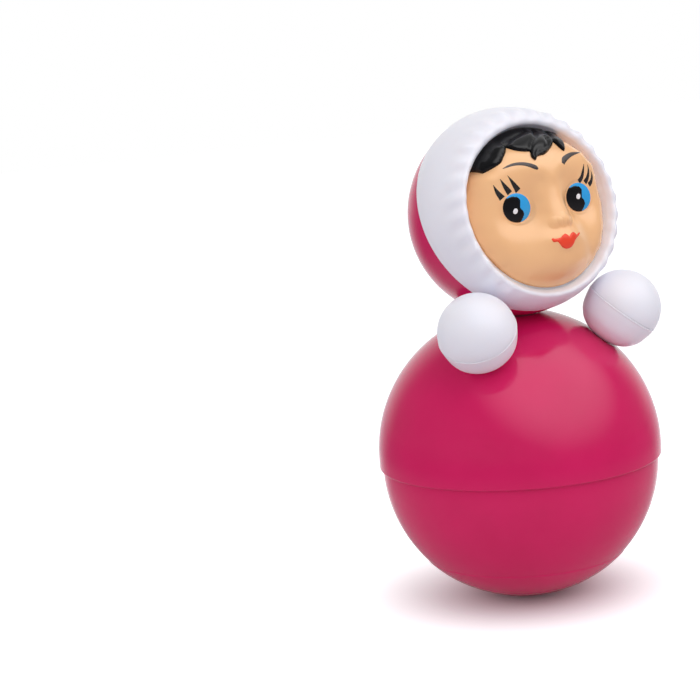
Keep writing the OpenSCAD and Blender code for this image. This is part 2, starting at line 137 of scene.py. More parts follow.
# Hands
HAND_R = 12.2
HAND_T = 1.6
HAND_GAP = 0.3
PIN_R = 2
PIN_HEAD_R = 4
PIN_SEAT_T = 4
HAND_SPIGOT_W = 1
HAND_SPIGOT_H = 2
SEAM_ROUND = 0.22
# A light bead along the inner half's edge: its height, where it starts and ends falling off, measured from
# the seam, and the angle that its fine rows take
HAND_BEAD_H = 0.16
HAND_BEAD_FULL = 0.27
HAND_BEAD_END = 0.81
HAND_BEAD_SPAN = 14
# A slight swelling of the inner half: its height, and the angles below the seam where it rises and falls
HAND_SWELL = 0.35
SWELL_RISE = (14, 34)
SWELL_FALL = (72, 44)

# Worked out from the sizes above and from the frame
BOWL_Z = math.sqrt(BOWL_R ** 2 - FOOT_R ** 2)
DOME_R = BOWL_R + RIM_STEP
DOME_Z = BOWL_Z + DOME_LIFT
DOME_IN = DOME_R - SHELL_T
BOWL_IN = BOWL_R - SHELL_T
SEAM_Z = BOWL_Z + SEAM_RISE
NECK = np.array(JOINTS["head_turn"]["pos_m"]) / MM
HEAD = NECK + (0, 0, HEAD_R + HEAD_GAP)
NECK_LOW = NECK[2] - NECK_SEAT_T
NECK_FLOOR = HEAD[2] - HEAD_R + NECK_SEAT_T
HOOD_RING_R = HEAD_R + HOOD_STEP - HOOD_TUBE_R
HOOD_IN_R = HOOD_TUBE_R - HOOD_T
SPIGOT_R = HOOD_RING_R + math.sqrt(HOOD_IN_R ** 2 - (HOOD_AHEAD - HOOD_EDGE) ** 2) - 2 * SEAT_GAP
OPEN_Z = math.sqrt(HEAD_R ** 2 - OPEN_R ** 2) - LIP_SETBACK


def head_axes(tilt, turn=0):
    """Rows X, Y and Z of a frame at the head's centre: Z points forward and up by the tilt."""
    t = math.radians(tilt)
    a = math.radians(turn)
    x = np.array([1.0, 0.0, 0.0])
    y = np.array([0.0, math.sin(t), math.cos(t)])
    z = np.array([0.0, -math.cos(t), math.sin(t)])
    return np.array([x * math.cos(a) + y * math.sin(a), y * math.cos(a) - x * math.sin(a), z])


def hand_axes(axis):
    """Rows X, Y and Z of a hand's frame: Z runs out of the dome along its pin."""
    z = np.array(axis) / np.linalg.norm(axis)
    x = np.cross((0.0, 0.0, 1.0), z)
    x /= np.linalg.norm(x)
    return np.array([x, np.cross(z, x), z])


UPRIGHT = np.eye(3)
HOOD_AXES = head_axes(HOOD_TILT)
FACE_AXES = head_axes(FACE_TILT, FACE_TURN)
OPENING_AXES = head_axes(FACE_TILT)


# Mesh helpers

# Angle at which an arc stops short of the axis, and the share of its radius where a sphere's section does
POLE_STOP = 89
NEAR_POLE = 0.9998


def smooth(start, end, value):
    """A soft step from 0 at start to 1 at end, for numbers and arrays."""
    t = np.clip((value - start) / (end - start), 0, 1)
    return t * t * (3 - 2 * t)


def arc(radius, start, end, count, centre=(0.0, 0.0)):
    """Points of an arc in a section, by angles up from the outward axis."""
    angles = np.radians(np.linspace(start, end, count))
    return [(centre[0] + radius * math.cos(a), centre[1] + radius * math.sin(a)) for a in angles]


def sphere_arc(radius, low, high, count):
    """Points of a section's arc about the origin between two heights, without a crossing of the axis."""
    limit = lambda z: math.degrees(math.asin(max(-1.0, min(1.0, z / radius))))
    return arc(radius, limit(low), limit(high), count)


def lathe(section, steps=LATHE_STEPS):
    """Points and faces of a section of (radius, height) turned about Z.

    A section that starts and ends on the axis closes at its poles; any other closes as a ring.
    """
    section = np.asarray(section, float)
    poles = max(section[0, 0], section[-1, 0]) < ON_AXIS
    rings = section[1:-1] if poles else section
    angles = np.arange(steps) * 2 * math.pi / steps
    rows = np.stack([np.outer(rings[:, 0], np.cos(angles)), np.outer(rings[:, 0], np.sin(angles)),
                     np.repeat(rings[:, 1:2], steps, axis=1)], axis=-1)
    if poles:
        return capped(rows, (0, 0, section[0, 1]), (0, 0, section[-1, 1]))
    return rows.reshape(-1, 3), grid_faces(len(rings), steps, closed_rows=True)


def capped(rows, first, last):
    """Points and faces of rows of points that run round, closed by a point at each end."""
    count, steps = rows.shape[:2]
    pole = count * steps
    top = pole - steps
    faces = grid_faces(count, steps, closed_rows=False)
    faces += [(pole, (j + 1) % steps, j) for j in range(steps)]
    faces += [(pole + 1, top + j, top + (j + 1) % steps) for j in range(steps)]
    return np.vstack([rows.reshape(-1, 3), first, last]), faces


def grid_faces(rows, columns, closed_rows):
    """Quads of a grid whose columns run round, and whose rows do too when closed."""
    faces = []
    for i in range(rows if closed_rows else rows - 1):
        a = i * columns
        b = ((i + 1) % rows) * columns
        faces += [(a + j, a + (j + 1) % columns, b + (j + 1) % columns, b + j) for j in range(columns)]
    return faces


def place(points, axes=UPRIGHT, origin=(0.0, 0.0, 0.0)):
    """Points of a frame's own coordinates, set in the part's axes."""
    return np.asarray(points) @ axes + np.asarray(origin)


def mesh_object(name, points, faces):
    """A linked mesh object from points in millimetres, with its normals outward."""
    mesh = bpy.data.meshes.new(name)
    mesh.from_pydata((np.asarray(points) * MM).tolist(), [], [tuple(map(int, f)) for f in faces])
    form = bmesh.new()
    form.from_mesh(mesh)
    bmesh.ops.recalc_face_normals(form, faces=form.faces)
    form.to_mesh(mesh)
    form.free()
    obj = bpy.data.objects.new(name, mesh)
    bpy.context.collection.objects.link(obj)
    return obj


def shade(obj):
    """Smooth shading that breaks at sharp edges."""
    mesh = obj.data
    mesh.polygons.foreach_set("use_smooth", [True] * len(mesh.polygons))
    mesh.set_sharp_from_angle(angle=math.radians(SHARP_ANGLE))


def combine(obj, tool, operation):
    """Joins, cuts or limits a mesh with another, which is used up."""
    modifier = obj.modifiers.new(operation.lower(), "BOOLEAN")
    modifier.operation = operation
    modifier.solver = "EXACT"
    modifier.object = tool
    result = bpy.data.meshes.new_from_object(obj.evaluated_get(bpy.context.evaluated_depsgraph_get()))
    obj.modifiers.clear()
    obj.data = result
    bpy.data.objects.remove(tool)


def turned(name, section, axes=UPRIGHT, origin=(0.0, 0.0, 0.0), steps=LATHE_STEPS):
    """A mesh object of a section turned about the Z of a frame."""
    points, faces = lathe(section, steps)
    return mesh_object(name, place(points, axes, origin), faces)


def rod(radius, low, high, axes=UPRIGHT, origin=(0.0, 0.0, 0.0)):
    """A round bar to join or cut with, between two heights along its own axis."""
    return turned("tool", [(0, low), (radius, low), (radius, high), (0, high)], axes, origin, steps=ROD_STEPS)


def ball(radius, origin):
    """A ball to cut or limit with."""
    section = [(0, -radius)] + arc(radius, -POLE_STOP, POLE_STOP, BALL_ROWS) + [(0, radius)]
    return turned("tool", section, origin=origin)


def finish_piece(obj, material, body, slot, *nodes):
    """Shades a piece, rides it on its body and lets it stand for its CAD nodes."""
    shade(obj)
    obj.data.materials.clear()
    obj.data.materials.append(material)
    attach(obj, body)
    if nodes:
        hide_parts(*nodes)


# Materials

# The middle part of a noise, over which a value runs from one end to the other
NOISE_LOW = 0.3
NOISE_HIGH = 0.7
# Grains in a millimetre of the noises that cloud a colour, mottle a gloss and streak a metal
PLASTIC_CLOUDS = 0.06
GLOSS_PATCHES = 0.35
METAL_CLOUDS = 0.2
METAL_STREAKS = 2.0
STREAK_H = 0.01
# How far the roughness of a plastic and of a metal runs, as shares of its own
GLOSS_RANGE = (0.85, 1.2)
STREAK_RANGE = (0.7, 1.3)
# How much deeper red light scatters in plastic than green and blue, and how deep
SCATTER = (1.0, 0.85, 0.8)
SCATTER_DEPTH = 1.5


def new_material(name):
    """A material with its node tree and its main shader."""
    material = bpy.data.materials.new(name)
    material.use_nodes = True
    tree = material.node_tree
    return material, tree, tree.nodes["Principled BSDF"]


def set_inputs(node, values):
    """Sets inputs of a node by their names."""
    for name, value in values.items():
        node.inputs[name].default_value = value


def noise(tree, scale, detail=3.0, stretch=(1.0, 1.0, 1.0)):
    """Noise in the piece's own metres; scale is the number of grains in a millimetre."""
    where = tree.nodes.new("ShaderNodeTexCoord").outputs["Object"]
    mapping = tree.nodes.new("ShaderNodeMapping")
    texture = tree.nodes.new("ShaderNodeTexNoise")
    set_inputs(mapping, {"Scale": stretch})
    set_inputs(texture, {"Scale": scale / MM, "Detail": detail})
    tree.links.new(where, mapping.inputs["Vector"])
    tree.links.new(mapping.outputs["Vector"], texture.inputs["Vector"])
    return texture.outputs["Fac"]


def map_range(tree, value, start, end, low=0.0, high=1.0, interpolation="LINEAR"):
    """A number that runs from low to high as a value goes from start to end."""
    node = tree.nodes.new("ShaderNodeMapRange")
    node.interpolation_type = interpolation
    set_inputs(node, {"From Min": start, "From Max": end, "To Min": low, "To Max": high})
    tree.links.new(value, node.inputs["Value"])
    return node.outputs["Result"]


def spread(tree, factor, low, high):
    """A number that runs from low to high with the middle of a noise."""
    return map_range(tree, factor, NOISE_LOW, NOISE_HIGH, low, high)


def tint(tree, factor, colour, other):
    """A colour between two, chosen by a noise."""
    node = tree.nodes.new("ShaderNodeMix")
    node.data_type = "RGBA"
    set_inputs(node, {"A": (*colour, 1), "B": (*other, 1)})
    tree.links.new(spread(tree, factor, 0.0, 1.0), node.inputs["Factor"])
    return node.outputs["Result"]


def bump(tree, shader, factor, height):
    """Lifts and dents a surface by a noise, up to a height."""
    node = tree.nodes.new("ShaderNodeBump")
    set_inputs(node, {"Distance": height * MM, "Strength": 1.0})
    tree.links.new(factor, node.inputs["Height"])
    tree.links.new(node.outputs["Normal"], shader.inputs["Normal"])


def moulded(name, colour, other, rough, specular, grain=0.15, grain_h=0.004, subsurface=0.0):
    """Moulded or painted plastic: cloudy colour, uneven gloss and a faint skin."""
    material, tree, shader = new_material(name)
    set_inputs(shader, {"Specular IOR Level": specular, "Subsurface Weight": subsurface,
                        "Subsurface Radius": SCATTER, "Subsurface Scale": SCATTER_DEPTH * MM})
    tree.links.new(tint(tree, noise(tree, PLASTIC_CLOUDS), colour, other), shader.inputs["Base Color"])
    gloss = spread(tree, noise(tree, GLOSS_PATCHES), *(rough * share for share in GLOSS_RANGE))
    tree.links.new(gloss, shader.inputs["Roughness"])
    bump(tree, shader, noise(tree, grain, detail=2.0), grain_h)
    return material


def metal(name, colour, other, rough, stretch):
    """Worked metal: cloudy colour, and drawn, turned or cast streaks in gloss and surface."""
    material, tree, shader = new_material(name)
    set_inputs(shader, {"Metallic": 1.0})
    streaks = noise(tree, METAL_STREAKS, detail=4.0, stretch=stretch)
    gloss = spread(tree, streaks, *(rough * share for share in STREAK_RANGE))
    tree.links.new(tint(tree, noise(tree, METAL_CLOUDS), colour, other), shader.inputs["Base Color"])
    tree.links.new(gloss, shader.inputs["Roughness"])
    bump(tree, shader, streaks, STREAK_H)
    return material


RASPBERRY = moulded("raspberry_plastic", (0.64, 0.011, 0.112), (0.60, 0.010, 0.102), 0.15, 0.3)
WHITE = moulded("white_plastic", (0.87, 0.86, 0.94), (0.85, 0.84, 0.925), 0.34, 0.4, subsurface=0.5)
SKIN = moulded("face_plastic", (0.97, 0.56, 0.285), (0.94, 0.53, 0.265), 0.09, 0.38,
               grain_h=0.003, subsurface=0.1)
BLACK = moulded("black_paint", (0.004, 0.004, 0.005), (0.007, 0.007, 0.008), 0.14, 0.24)
BROWN = moulded("brow_paint", (0.040, 0.032, 0.032), (0.085, 0.065, 0.060), 0.3, 0.4, grain=1.2)
LASH = moulded("lash_paint", (0.012, 0.011, 0.012), (0.025, 0.022, 0.022), 0.25, 0.4)
BLUE = moulded("blue_paint", (0.035, 0.40, 0.86), (0.030, 0.37, 0.81), 0.15, 0.4)
DOT_WHITE = moulded("white_paint", (0.93, 0.93, 0.95), (0.90, 0.90, 0.94), 0.2, 0.4)
RED = moulded("red_paint", (0.94, 0.075, 0.032), (0.90, 0.065, 0.027), 0.2, 0.35)
SLEEVE = moulded("sleeve_plastic", (0.16, 0.010, 0.030), (0.13, 0.008, 0.025), 0.45, 0.2)
IRON = metal("ballast_iron", (0.17, 0.17, 0.18), (0.11, 0.11, 0.12), 0.6, (1.0, 1.0, 1.0))
STEEL = metal("chime_steel", (0.62, 0.63, 0.65), (0.52, 0.53, 0.56), 0.25, (1.0, 1.0, 0.05))
BRASS = metal("clapper_brass", (0.75, 0.55, 0.22), (0.66, 0.46, 0.17), 0.25, (0.2, 0.2, 2.0))


# Body

def bowl_section():
    """Wall of the bowl from the foot's middle over the outside, the lip and back to the floor's middle."""
    step_at = 90 - math.degrees(math.asin(CAP_STEP_BELOW / BOWL_R))
    foot_at = math.degrees(math.asin(FOOT_R / BOWL_R))
    runs = [(foot_at, step_at - CAP_FINE, 50), (step_at - CAP_FINE, step_at + CAP_FINE, 21),
            (step_at + CAP_FINE, 90, 50)]
    outer = []
    for below in np.unique(np.concatenate([np.linspace(*run) for run in runs])):
        step = smooth(step_at + CAP_EDGE, step_at - CAP_EDGE, below)
        fade = smooth(step_at - CAP_FADE, step_at - CAP_FLAT, below)
        reach = BOWL_R + CAP_STEP * step * fade
        outer.append((reach * math.sin(math.radians(below)), BOWL_Z - reach * math.cos(math.radians(below))))
    lip_out = DOME_IN - SEAT_GAP
    lip_in = lip_out - LIP_T
    lip_low = SEAM_Z - LIP_T - RIM_STEP
    inner = [(x, BOWL_Z + z) for x, z in sphere_arc(BOWL_IN, lip_low - BOWL_Z, -BOWL_IN, 60)]
    lip_top = SEAM_Z + LIP_H
    return ([(0, 0)] + outer + [(BOWL_R, SEAM_Z - BOWL_EDGE), (BOWL_R - BOWL_EDGE, SEAM_Z), (lip_out, SEAM_Z)]
            + [(lip_out, lip_top - BOWL_EDGE), (lip_out - BOWL_EDGE, lip_top), (lip_in, lip_top)]
            + [(lip_in, lip_low)] + inner[:-1] + [(0, BOWL_Z - BOWL_IN)])


def make_bowl():
    """The bowl, with the posts inside that take the ballast's screws."""
    bowl = turned("body_bowl", bowl_section())
    mid_wall = BOWL_R - SHELL_T / 2
    wall_z = BOWL_Z - math.sqrt(mid_wall ** 2 - (POST_RING - POST_R) ** 2)
    top = BOWL_Z - BOWL_IN + POST_H
    for i in range(POSTS):
        a = math.radians(90 + i * 360 / POSTS)
        foot = (POST_RING * math.cos(a), POST_RING * math.sin(a), 0)
        post = rod(POST_R, wall_z, top, origin=foot)
        combine(post, ball(mid_wall, (0, 0, BOWL_Z)), "INTERSECT")
        combine(bowl, post, "UNION")
        combine(bowl, rod(POST_BORE_R, top - POST_BORE_DEPTH, top + OVERCUT, origin=foot), "DIFFERENCE")
    finish_piece(bowl, RASPBERRY, "body", "raspberry_plastic", "body_lower_shell")


def dome_section():
    """Wall of the dome from the crown's outside down to the rounded rim and up the inside."""
    outer = [(x, DOME_Z + z) for x, z in arc(DOME_R, POLE_STOP, 0, 110)]
    rim = arc(RIM_ROUND, 0, -90, 9, (DOME_R - RIM_ROUND, SEAM_Z + RIM_ROUND))
    inner = [(x, DOME_Z + z) for x, z in arc(DOME_IN, 0, POLE_STOP, 80)]
    return [(0, DOME_Z + DOME_R)] + outer + rim + [(DOME_IN, SEAM_Z)] + inner + [(0, DOME_Z + DOME_IN)]


def hand_joint(side):
    """A hand's frame and its centre, from its joint."""
    joint = JOINTS[side + "_hand_spin"]
    return hand_axes(joint["axis"]), np.array(joint["pos_m"]) / MM


def make_dome():
    """The dome, with its bosses and bores for the neck and the hands, and their hollow seats."""
    dome = turned("body_dome", dome_section())
    hands = [hand_joint(side) for side in ("left", "right")]
    seat = -HAND_R - HAND_GAP - PIN_SEAT_T
    bosses = [rod(COLLAR_R + BOSS_WALL, NECK_LOW, DOME_Z + DOME_R, origin=(*NECK[:2], 0))]
    bosses += [rod(PIN_HEAD_R + BOSS_WALL, seat, 0, *hand) for hand in hands]
    for boss in bosses:
        combine(boss, ball(DOME_R - SHELL_T / 2, (0, 0, DOME_Z)), "INTERSECT")
        combine(dome, boss, "UNION")
    combine(dome, ball(HEAD_R + HEAD_GAP, HEAD), "DIFFERENCE")
    combine(dome, rod(NECK_R + SEAT_GAP, NECK_LOW - OVERCUT, HEAD[2], origin=(*NECK[:2], 0)), "DIFFERENCE")
    for axes, centre in hands:
        combine(dome, ball(HAND_R + HAND_GAP, centre), "DIFFERENCE")
        combine(dome, rod(PIN_R + RUN_GAP, -2 * HAND_R, 0, axes, centre), "DIFFERENCE")
    finish_piece(dome, RASPBERRY, "body", "raspberry_plastic", "body_upper_shell")


# Hands

def make_hand(side):
    """The two half shells of a hand, with a rounded joint and a light bead on the inner half's edge."""
    axes, centre = hand_joint(side)
    inside = HAND_R - HAND_T
    round_at = math.degrees(SEAM_ROUND / HAND_R)
    outer = ([(0, HAND_R)] + arc(HAND_R, POLE_STOP, round_at, 70)
             + arc(SEAM_ROUND, 0, -90, 6, (HAND_R - SEAM_ROUND, SEAM_ROUND)) + [(inside, 0)]
             + arc(inside, 0, POLE_STOP, 40) + [(0, inside)])
    half = turned(side + "_hand_front", outer, axes, centre)
    finish_piece(half, WHITE, side + "_hand", "white_plastic", side + "_hand_outer")

    spigot = inside - SEAT_GAP
    bore = PIN_R + SEAT_GAP
    boss_top = -HAND_R + PIN_SEAT_T
    boss_foot = -math.sqrt(inside ** 2 - PIN_HEAD_R ** 2)
    bore_at = math.degrees(math.acos(bore / HAND_R))
    bead_rows = np.linspace(0, HAND_BEAD_SPAN, 29)
    cup_rows = np.linspace(HAND_BEAD_SPAN + 1, bore_at, 60)
    cup = []
    for below in np.concatenate([bead_rows, cup_rows]):
        run = HAND_R * math.radians(below)
        bead = HAND_BEAD_H * smooth(HAND_BEAD_END, HAND_BEAD_FULL, run)
        seam = SEAM_ROUND * smooth(SEAM_ROUND, 0, run)
        swell = HAND_SWELL * smooth(*SWELL_RISE, below) * smooth(*SWELL_FALL, below)
        reach = HAND_R + bead - seam + swell
        cup.append((reach * math.cos(math.radians(below)), -reach * math.sin(math.radians(below))))
    inner = (cup + [(bore, boss_top), (PIN_HEAD_R, boss_top)]
             + sphere_arc(inside, boss_foot, -HAND_SPIGOT_H, 30)
             + [(spigot - HAND_SPIGOT_W, -HAND_SPIGOT_H), (spigot - HAND_SPIGOT_W, HAND_SPIGOT_H)]
             + sphere_arc(spigot, HAND_SPIGOT_H, 0, 6))
    half = turned(side + "_hand_back", inner, axes, centre)
    finish_piece(half, WHITE, side + "_hand", "white_plastic", side + "_hand_inner")


# Head shell and hood

def make_head_shell():
    """The rear of the head, with a spigot that the hood fits over and a pocket for the neck's ring."""
    inside = HEAD_R - HEAD_T
    root = HOOD_EDGE - SPIGOT_ROOT
    outer = sphere_arc(HEAD_R, -HEAD_R * NEAR_POLE, HOOD_EDGE - HEAD_GROOVE, 130)
    inner = sphere_arc(inside, root, -inside * NEAR_POLE, 90)
    section = ([(0, -HEAD_R)] + outer + [(HEAD_R - HEAD_GROOVE, HOOD_EDGE), (SPIGOT_R, HOOD_EDGE)]
               + [(SPIGOT_R, HOOD_EDGE + SPIGOT_H), (SPIGOT_R - SPIGOT_T, HOOD_EDGE + SPIGOT_H)]
               + [(SPIGOT_R - SPIGOT_T, root)] + inner + [(0, -inside)])
    shell = turned("head_back", section, HOOD_AXES, HEAD)
    axis = (*NECK[:2], 0)
    head_low = HEAD[2] - HEAD_R
    boss = rod(COLLAR_R + BOSS_WALL, head_low, NECK_FLOOR, origin=axis)
    combine(boss, ball(HEAD_R - HEAD_T / 2, HEAD), "INTERSECT")
    combine(shell, boss, "UNION")
    combine(shell, rod(NECK_R + RUN_GAP, head_low - OVERCUT, NECK_FLOOR + OVERCUT, origin=axis), "DIFFERENCE")
    ring_top = NECK_FLOOR + COLLAR_T + 2 * SIDE_GAP
    combine(shell, rod(COLLAR_R + SIDE_GAP, NECK_FLOOR, ring_top, origin=axis), "DIFFERENCE")
    finish_piece(shell, RASPBERRY, "head", "raspberry_plastic", "head_rear_shell")


HOOD_STEPS = 720
BAND_ROWS = 90
INSIDE_ROWS = 24
# A row on the back of the band, where the way out is plain
SURE_ROW = 10
# Radius of the band's back edge, and the angles of the rows that round it
HOOD_ROUND = 0.3
HOOD_ROUND_AT = np.linspace(17, 90, 5)
# Angle round the band's tube from which a crossing is looked for, and how often the search halves
BAND_FROM = -17
HALVINGS = 40
# Length of the band before its crest that the rounded fold takes up
CREST_RUN = 7 / 3
# Share of each run that rounding cuts from its ends
CORNER_CUT = 0.25
# A point of the fold between the lip and the wall's foot, by its shares of the way in and of the way back
FOLD_IN = 0.25
FOLD_BACK = 0.28

# Soft lumps round the opening: how many, how high, and how far they run back from the lip and fade in and out
LUMPS = 32
LUMP_H = 0.6
PAD_BASE = 0.25
LIP_AHEAD = 0.4
LUMP_LEN = 10.5
LUMP_END = 6.0
LUMP_RISE = 2.2
LUMP_INNER = -1.5
# They are fuller on both sides of the top, by the turn from it and the cosine where the change starts
UPPER_PUFF = 0.35
UPPER_AT = 22.9
UPPER_FROM = 0.8
# They are shorter and flatter at the chin, by the cosines of the turns where the change starts and ends
CHIN_FROM = -0.6
CHIN_FULL = -0.97
CHIN_SHORTER = 2.6
CHIN_FLATTER = 0.7


def head_point(turn, r, z, axes=OPENING_AXES):
    """Points about the head's centre by their turns from the top, radii and heights in a frame."""
    return place(np.stack([r * np.sin(turn), r * np.cos(turn), z + 0 * r], axis=-1), axes, HEAD)


def hood_band(t, a, radius=HOOD_TUBE_R):
    """Points of the hood's band by the turns t from the top and the angles a round its tube."""
    a = a + np.zeros_like(t)
    return head_point(t, HOOD_RING_R + radius * np.cos(a), HOOD_AHEAD + radius * np.sin(a), HOOD_AXES)


def lip_r(turn):
    """Radius of the opening at its lip, which hangs lower at the top and flares at the chin."""
    drop = OPEN_TOP_DROP * smooth(LIP_EVEN, 1.0, np.cos(turn))
    flare = LIP_FLARE * smooth(-LIP_EVEN, -1.0, np.cos(turn))
    return OPEN_R - drop + flare


def wall_r(turn):
    """Radius of the opening where its wall meets the face, a circle set a little low."""
    return WALL_R - WALL_SHIFT * np.cos(turn)


def edge_z(turn):
    """How far forward the face's edge lies: deep at the top, nearly flush with the lip at the chin."""
    return EDGE_Z - EDGE_LEAN * np.cos(turn)


def band_angle(t, radius, past):
    """Angles round the band's tube where it first passes a test in the opening's frame, for each turn t."""
    low = np.full_like(t, math.radians(BAND_FROM))
    high = np.full_like(t, math.radians(90))
    for _ in range(HALVINGS):
        mid = (low + high) / 2
        local = (hood_band(t, mid, radius) - HEAD) @ OPENING_AXES.T
        passed = past(np.hypot(local[:, 0], local[:, 1]), local[:, 2])
        high = np.where(passed, mid, high)
        low = np.where(passed, low, mid)
    return low


def chaikin(rows, times=3):
    """Rounds an open run of rows of points, keeping its ends."""
    for _ in range(times):
        near = [rows[0]]
        for a, b in zip(rows[:-1], rows[1:]):
            near += [a * (1 - CORNER_CUT) + b * CORNER_CUT, a * CORNER_CUT + b * (1 - CORNER_CUT)]
        rows = near + [rows[-1]]
    return rows


def hood_outside(t, crest, turn, rest):
    """Rows of the hood from its back edge over the band and the fold to the foot of the opening's wall."""
    back = math.asin((HOOD_EDGE - HOOD_AHEAD) / HOOD_TUBE_R)
    edge_round = HOOD_ROUND / HOOD_TUBE_R
    first = back + edge_round
    last = crest - CREST_RUN / HOOD_TUBE_R
    rows = [hood_band(t, back, HOOD_TUBE_R - HOOD_ROUND)]
    for k in np.radians(HOOD_ROUND_AT):
        rows.append(hood_band(t, back + edge_round * (1 - math.cos(k)),
                              HOOD_TUBE_R - HOOD_ROUND * (1 - math.sin(k))))
    rows += [hood_band(t, first + (last - first) * s) for s in np.linspace(0, 1, BAND_ROWS)[1:]]

    lip = lip_r(turn)
    foot = wall_r(turn)
    between = head_point(turn, lip + (foot - lip) * FOLD_IN, OPEN_Z + (rest - OPEN_Z) * FOLD_BACK)
    fold = chaikin([rows[-1], hood_band(t, crest), head_point(turn, lip, OPEN_Z), between,
                    head_point(turn, foot, rest)])
    return np.array(rows + fold[1:])


def outward(rows):
    """Unit normals of the hood's outside."""
    around = np.roll(rows, -1, axis=1) - np.roll(rows, 1, axis=1)
    normal = np.cross(around, np.gradient(rows, axis=0))
    normal /= np.linalg.norm(normal, axis=-1, keepdims=True)
    if np.sum(normal[SURE_ROW] * (rows[SURE_ROW] - HEAD)) < 0:
        normal = -normal
    return normal


def lump_swell(outside, turn):
    """How far the soft lumps round the opening stand out, for each point of the hood's outside."""
    steps = np.linalg.norm(np.diff(outside, axis=0), axis=-1)
    run = np.vstack([np.zeros(len(turn)), np.cumsum(steps, axis=0)])
    forward = ((outside - HEAD) @ OPENING_AXES.T)[..., 2]
    lip_row = np.argmin(np.abs(forward - OPEN_Z - LIP_AHEAD).mean(axis=1))
    away = run[lip_row] - run
    pad = 0.5 + 0.5 * np.cos(LUMPS * turn)
    chin = smooth(CHIN_FROM, CHIN_FULL, np.cos(turn))
    length = LUMP_LEN - CHIN_SHORTER * chin
    puff = 1 + UPPER_PUFF * smooth(UPPER_FROM, 1.0, np.cos(np.abs(turn) - math.radians(UPPER_AT)))
    base = PAD_BASE * smooth(LUMP_INNER, LUMP_RISE, away)
    wave = LUMP_H * pad * smooth(LUMP_INNER, 2 * LUMP_RISE, away)
    return (base + wave) * smooth(length, length - LUMP_END, away) * puff * (1 - CHIN_FLATTER * chin)


def make_hood():
    """The white hood: a band round the head, folded into the opening, with lumps round the opening's lip."""
    t = np.arange(HOOD_STEPS) * 2 * math.pi / HOOD_STEPS
    crest = band_angle(t, HOOD_TUBE_R, lambda r, z: z - OPEN_Z > r - OPEN_R)
    local = (hood_band(t, crest) - HEAD) @ OPENING_AXES.T
    turn = np.arctan2(local[:, 0], local[:, 1])
    rest = edge_z(turn) - WALL_REST
    outside = hood_outside(t, crest, turn, rest)
    outside = outside + outward(outside) * lump_swell(outside, turn)[..., None]
    collar = [head_point(turn, wall_r(turn) + COLLAR_RING_W, rest)]
    from_wall = band_angle(t, HOOD_IN_R, lambda r, z: z > rest)
    to_back = math.asin((HOOD_EDGE - HOOD_AHEAD) / HOOD_IN_R)
    shares = np.linspace(0, 1, INSIDE_ROWS)
    inside = [hood_band(t, from_wall + (to_back - from_wall) * s, HOOD_IN_R) for s in shares]
    rows = np.concatenate([outside, collar, inside])
    faces = grid_faces(len(rows), HOOD_STEPS, closed_rows=True)
    hood = mesh_object("hood_fur", rows.reshape(-1, 3), faces)
    finish_piece(hood, WHITE, "head", "white_plastic", "hood_trim")


# Face

# Eyes: place, half width and height, depth, lean up and outward, swelling, turn and the reach of the socket
EYE_X = 11.8
EYE_Y = {-1: -0.5, 1: -0.2}
EYE_W = 5.2
EYE_H = 4.25
EYE_DEPTH = 20.2
EYE_LEAN = 0.34
EYE_OUT = 0.064
EYE_DOME = 0.7
EYE_TURN = -26
EYE_COS = math.cos(math.radians(EYE_TURN))
EYE_SIN = math.sin(math.radians(EYE_TURN))
SOCKET = 1.25
# Round swellings of the nose by their middle, radius and height: its tip and its two wings
NOSE_BALLS = [(0.0, -6.5, 2.5, 0.55), (-2.7, -7.1, 2.0, 0.5), (2.7, -7.1, 2.0, 0.5)]

